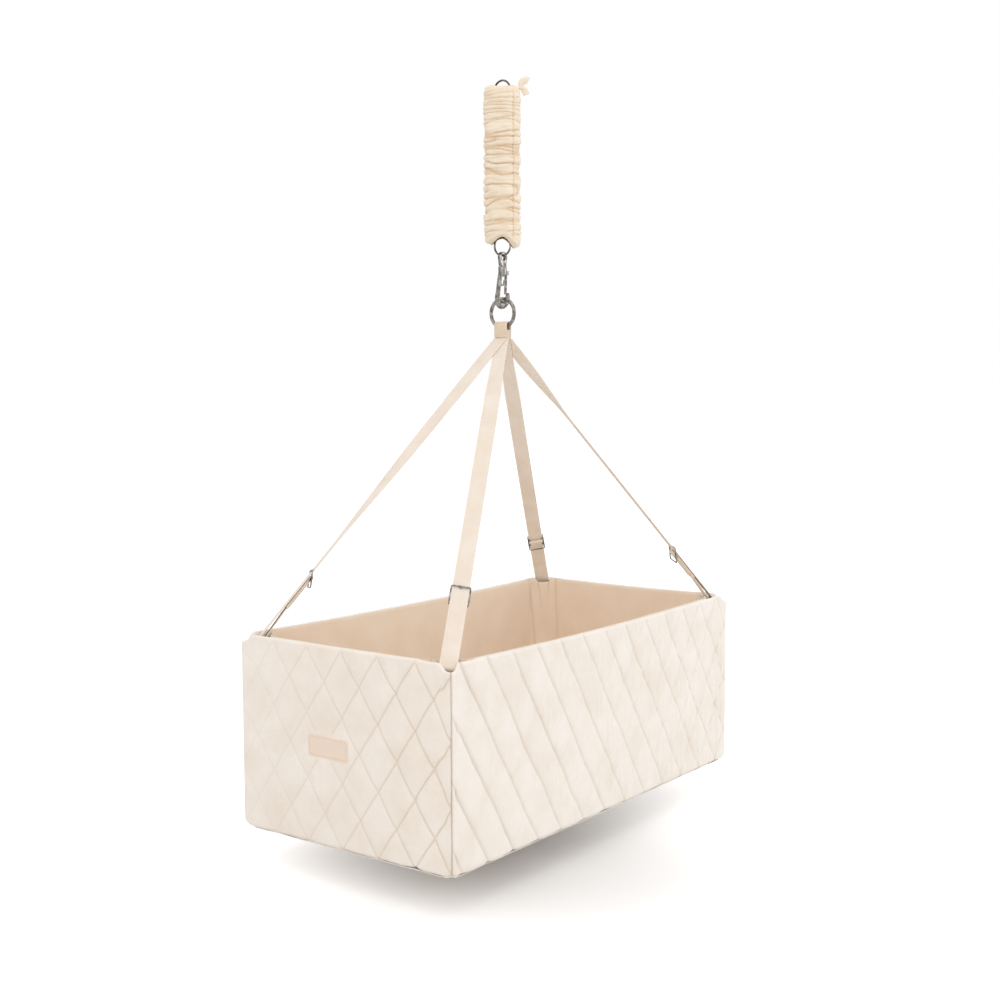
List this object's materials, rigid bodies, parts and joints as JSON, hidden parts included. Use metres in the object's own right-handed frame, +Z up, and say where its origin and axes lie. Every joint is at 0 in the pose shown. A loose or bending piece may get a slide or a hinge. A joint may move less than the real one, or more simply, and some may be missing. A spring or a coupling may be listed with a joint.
{
  "type": "hanging baby cradle",
  "caption": "Quilted cloth cradle basket hung by four straps from a ring, a swivel snap hook and an extension spring in a gathered cloth sleeve.",
  "frame": {"origin": "inner crown of the spring's top loop, where the cradle hangs on its hook", "axes": "+Z up; X along the basket, with the label on the -X end; Y across the basket"},
  "size_m": [0.775, 0.405, 1.1451],
  "materials": {
    "quilted_cotton": "matte",
    "lining_cotton": "matte",
    "strap_cotton": "matte",
    "tab_cotton": "matte",
    "sleeve_cotton": "matte",
    "steel": "satin",
    "batting": "matte",
    "board": "matte",
    "label_leather": "matte"
  },
  "bodies": {
    "spring_top": {"spring_top_loop": "steel", "extension_spring": "steel", "spring_sleeve": "sleeve_cotton", "sleeve_tie": "sleeve_cotton"},
    "spring_end": {"spring_bottom_loop": "steel"},
    "swivel": {"swivel_eye": "steel"},
    "hook": {"hook_body": "steel", "gate_pin": "steel", "gate_spring": "steel"},
    "gate": {"hook_gate": "steel"},
    "ring": {"load_ring": "steel"},
    "basket": {"ring_tab": "tab_cotton", "bottom_panel": "quilted_cotton", "base_board": "board", "inner_lining": "lining_cotton", "mattress": "quilted_cotton", "label_patch": "label_leather", "outer_panel_front": "quilted_cotton", "outer_panel_right": "quilted_cotton", "outer_panel_back": "quilted_cotton", "outer_panel_left": "quilted_cotton", "wall_core_front": "batting", "wall_core_right": "batting", "wall_core_back": "batting", "wall_core_left": "batting", "strap_front_left": "strap_cotton", "anchor_ring_front_left": "steel", "anchor_webbing_front_left": "strap_cotton", "strap_back_left": "strap_cotton", "anchor_ring_back_left": "steel", "anchor_webbing_back_left": "strap_cotton", "strap_back_right": "strap_cotton", "anchor_ring_back_right": "steel", "anchor_webbing_back_right": "strap_cotton", "strap_front_right": "strap_cotton", "anchor_ring_front_right": "steel", "anchor_webbing_front_right": "strap_cotton"},
    "slider_front_left": {"slider_front_left": "steel", "strap_end_front_left": "strap_cotton"},
    "slider_back_left": {"slider_back_left": "steel", "strap_end_back_left": "strap_cotton"},
    "slider_back_right": {"slider_back_right": "steel", "strap_end_back_right": "strap_cotton"},
    "slider_front_right": {"slider_front_right": "steel", "strap_end_front_right": "strap_cotton"}
  },
  "joints": [
    {"name": "spring_stretch", "type": "slide", "parent": "spring_top", "child": "spring_end", "axis": [0, 0, -1], "range_m": [0, 0.15], "stiffness_N_per_m": 700, "springref_m": -0.12, "deforming": ["extension_spring", "spring_sleeve"]},
    {"name": "eye_rock", "type": "hinge", "parent": "spring_end", "child": "swivel", "pos_m": [0, 0, -0.2716], "axis": [0, 1, 0], "range_deg": [-20, 20]},
    {"name": "swivel_turn", "type": "hinge", "parent": "swivel", "child": "hook", "pos_m": [0, 0, -0.3019], "axis": [0, 0, 1], "continuous": true},
    {"name": "gate_open", "type": "hinge", "parent": "hook", "child": "gate", "pos_m": [0.008, 0, -0.29865], "axis": [0, 1, 0], "range_deg": [0, 20], "stiffness_Nm_per_rad": 0.08, "springref_deg": -17.19, "deforming": ["gate_spring"]},
    {"name": "ring_swing", "type": "hinge", "parent": "hook", "child": "ring", "pos_m": [0, 0, -0.346], "axis": [1, 0, 0], "range_deg": [-25, 25]},
    {"name": "basket_swing", "type": "hinge", "parent": "ring", "child": "basket", "pos_m": [0, 0, -0.38185], "axis": [0, 1, 0], "range_deg": [-15, 15]},
    {"name": "slider_front_left_adjust", "type": "slide", "parent": "basket", "child": "slider_front_left", "axis": [0.603, 0.2986, 0.7398], "range_m": [-0.004, 0.02]},
    {"name": "slider_back_left_adjust", "type": "slide", "parent": "basket", "child": "slider_back_left", "axis": [0.6007, -0.2992, 0.7414], "range_m": [-0.004, 0.02]},
    {"name": "slider_back_right_adjust", "type": "slide", "parent": "basket", "child": "slider_back_right", "axis": [-0.603, -0.2986, 0.7398], "range_m": [-0.004, 0.02]},
    {"name": "slider_front_right_adjust", "type": "slide", "parent": "basket", "child": "slider_front_right", "axis": [-0.6007, 0.2992, 0.7414], "range_m": [-0.004, 0.02]}
  ]
}
